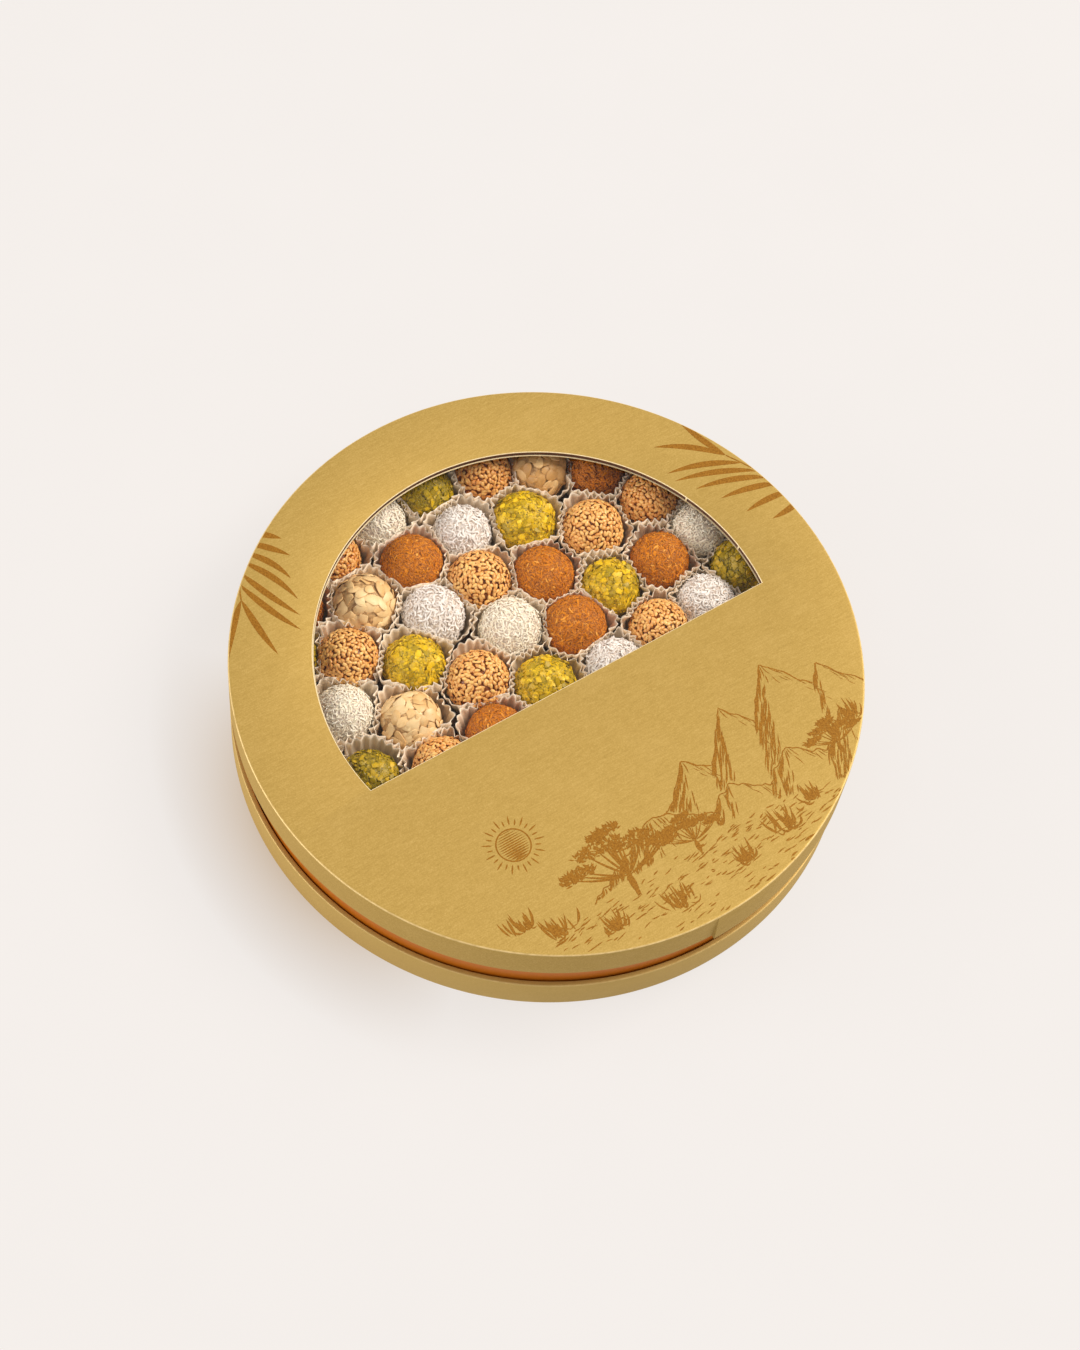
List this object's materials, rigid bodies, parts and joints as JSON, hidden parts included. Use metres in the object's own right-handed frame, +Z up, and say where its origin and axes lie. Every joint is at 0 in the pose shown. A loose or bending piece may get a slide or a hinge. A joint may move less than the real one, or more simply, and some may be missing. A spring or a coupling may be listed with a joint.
{
  "type": "round window gift box of coated date balls",
  "caption": "Round paperboard shoulder box with a flat lid and a D-shaped clear window, holding coated date balls in fluted paper cases.",
  "frame": {"origin": "middle of the underside of the base, on the surface it stands on", "axes": "+Z up through the lid; +X along the window's straight edge; +Y from the closed part of the lid towards the window"},
  "size_m": [0.3, 0.3009, 0.0586],
  "materials": {
    "gold_paper": "pearlescent gold wrapping paper on board, satin",
    "copper_paper": "copper-coloured satin paper on board",
    "clear_film": "thin clear film",
    "pistachio_coating": "rough chopped green nut coating in a fluted paper case",
    "sesame_coating": "toasted seed coating in a fluted paper case",
    "coconut_coating": "white shredded coating in a fluted paper case",
    "almond_coating": "pale flaked nut coating in a fluted paper case",
    "crumb_coating": "orange-brown crumb coating in a fluted paper case"
  },
  "bodies": {
    "root": {"almond_ball_2_07": "almond_coating", "almond_ball_3_00": "almond_coating", "almond_ball_3_07": "almond_coating", "almond_ball_4_05": "almond_coating", "almond_ball_4_12": "almond_coating", "base": "gold_paper", "coconut_ball_1_01": "coconut_coating", "coconut_ball_1_05": "coconut_coating", "coconut_ball_2_05": "coconut_coating", "coconut_ball_2_09": "coconut_coating", "coconut_ball_3_01": "coconut_coating", "coconut_ball_3_05": "coconut_coating", "coconut_ball_3_09": "coconut_coating", "coconut_ball_4_02": "coconut_coating", "coconut_ball_4_08": "coconut_coating", "coconut_ball_4_13": "coconut_coating", "crumb_ball_1_00": "crumb_coating", "crumb_ball_1_03": "crumb_coating", "crumb_ball_2_00": "crumb_coating", "crumb_ball_2_03": "crumb_coating", "crumb_ball_3_02": "crumb_coating", "crumb_ball_3_06": "crumb_coating", "crumb_ball_3_11": "crumb_coating", "crumb_ball_4_04": "crumb_coating", "crumb_ball_4_10": "crumb_coating", "lid_skirt": "gold_paper", "lid_top": "gold_paper", "neck": "copper_paper", "pistachio_ball_0_00": "pistachio_coating", "pistachio_ball_2_02": "pistachio_coating", "pistachio_ball_2_06": "pistachio_coating", "pistachio_ball_3_04": "pistachio_coating", "pistachio_ball_3_10": "pistachio_coating", "pistachio_ball_4_01": "pistachio_coating", "pistachio_ball_4_07": "pistachio_coating", "pistachio_ball_4_11": "pistachio_coating", "sesame_ball_1_02": "sesame_coating", "sesame_ball_1_04": "sesame_coating", "sesame_ball_2_01": "sesame_coating", "sesame_ball_2_04": "sesame_coating", "sesame_ball_2_08": "sesame_coating", "sesame_ball_3_03": "sesame_coating", "sesame_ball_3_08": "sesame_coating", "sesame_ball_4_00": "sesame_coating", "sesame_ball_4_03": "sesame_coating", "sesame_ball_4_06": "sesame_coating", "sesame_ball_4_09": "sesame_coating", "sesame_ball_4_14": "sesame_coating", "window_film": "clear_film"}
  },
  "joints": []
}
